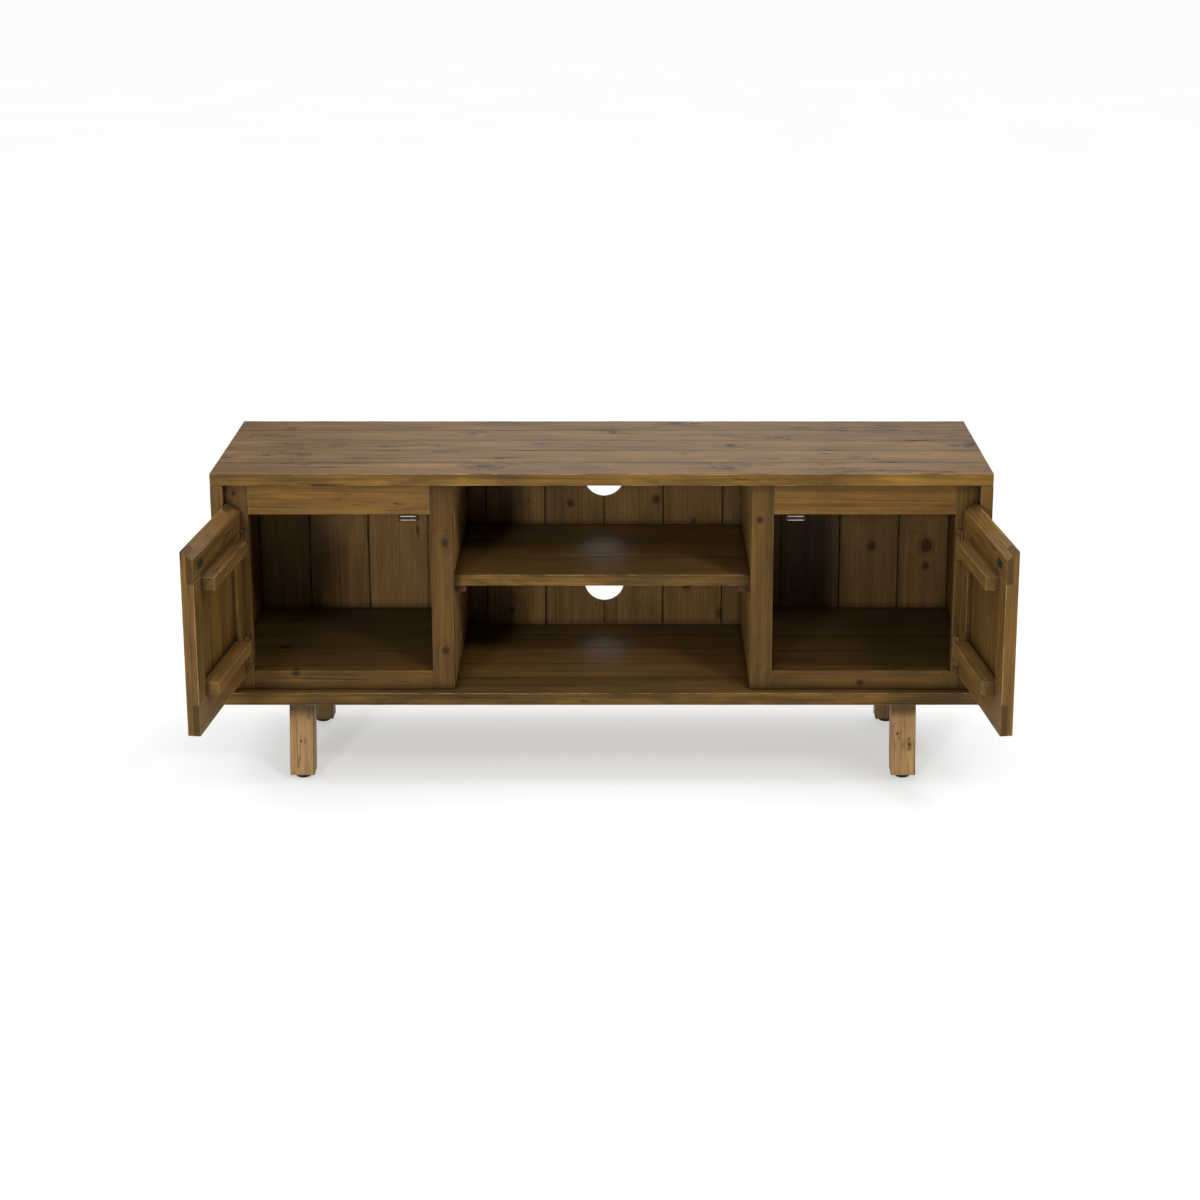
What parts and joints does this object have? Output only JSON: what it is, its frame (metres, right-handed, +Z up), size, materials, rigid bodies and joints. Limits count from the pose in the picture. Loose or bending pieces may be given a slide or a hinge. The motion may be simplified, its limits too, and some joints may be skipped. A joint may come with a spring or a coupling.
{
  "type": "tv stand with doors",
  "caption": "Low wooden television stand: cupboards with framed doors at both ends, a middle bay with a shelf and round cable holes in the back, on splayed legs. Doors stand open.",
  "frame": {"origin": "on the floor, under the middle of the outline with both doors standing open", "axes": "+X to the right as seen from the front, +Y from the front to the back so that the open doors point along -Y, +Z up"},
  "size_m": [1.4558, 0.7954, 0.615],
  "materials": {
    "top_wood": "waxed reclaimed pine, greyed brown",
    "body_wood": "waxed pine, golden brown",
    "inner_wood": "waxed pine, dark brown",
    "door_wood": "waxed pine, golden brown",
    "leg_wood": "waxed pine, light tan",
    "hinge": "dark antique bronze",
    "strike": "zinc plated",
    "catch": "dark brown moulded",
    "glide": "black moulded"
  },
  "bodies": {
    "carcass": {"top_board": "top_wood", "base_board": "body_wood", "side_panel_left": "body_wood", "divider_left": "inner_wood", "frame_stile_left": "body_wood", "frame_post_left": "body_wood", "frame_rail_top_left": "body_wood", "frame_rail_bottom_left": "body_wood", "cupboard_floor_left": "inner_wood", "shelf_cleat_left": "inner_wood", "catch_left": "catch", "side_panel_right": "body_wood", "divider_right": "inner_wood", "frame_stile_right": "body_wood", "frame_post_right": "body_wood", "frame_rail_top_right": "body_wood", "frame_rail_bottom_right": "body_wood", "cupboard_floor_right": "inner_wood", "shelf_cleat_right": "inner_wood", "catch_right": "catch", "shelf": "inner_wood", "back_boards_left": "inner_wood", "back_boards_mid_left": "inner_wood", "back_boards_mid_right": "inner_wood", "back_boards_right": "inner_wood", "leg_front_left": "leg_wood", "leg_back_left": "leg_wood", "glide_front_left": "glide", "glide_back_left": "glide", "leg_rail_left": "leg_wood", "leg_front_right": "leg_wood", "leg_back_right": "leg_wood", "glide_front_right": "glide", "glide_back_right": "glide", "leg_rail_right": "leg_wood", "hinge_lower_left_frame_leaf": "hinge", "hinge_upper_left_frame_leaf": "hinge", "hinge_lower_right_frame_leaf": "hinge", "hinge_upper_right_frame_leaf": "hinge"},
    "door_left": {"door_left_hinge_stile": "door_wood", "door_left_free_stile": "door_wood", "door_left_rail_top": "door_wood", "door_left_rail_bottom": "door_wood", "door_left_boards": "door_wood", "door_left_batten_upper": "door_wood", "door_left_batten_lower": "door_wood", "door_left_strike_plate": "strike", "hinge_lower_left_door_leaf": "hinge", "hinge_upper_left_door_leaf": "hinge"},
    "door_right": {"door_right_hinge_stile": "door_wood", "door_right_free_stile": "door_wood", "door_right_rail_top": "door_wood", "door_right_rail_bottom": "door_wood", "door_right_boards": "door_wood", "door_right_batten_upper": "door_wood", "door_right_batten_lower": "door_wood", "door_right_strike_plate": "strike", "hinge_lower_right_door_leaf": "hinge", "hinge_upper_right_door_leaf": "hinge"}
  },
  "joints": [
    {"name": "door_left_hinge", "type": "hinge", "parent": "carcass", "child": "door_left", "pos_m": [-0.673, -0.03865, 0.3875], "axis": [0, 0, 1], "range_deg": [-5, 95]},
    {"name": "door_right_hinge", "type": "hinge", "parent": "carcass", "child": "door_right", "pos_m": [0.673, -0.03865, 0.3875], "axis": [0, 0, 1], "range_deg": [-95, 5]}
  ]
}
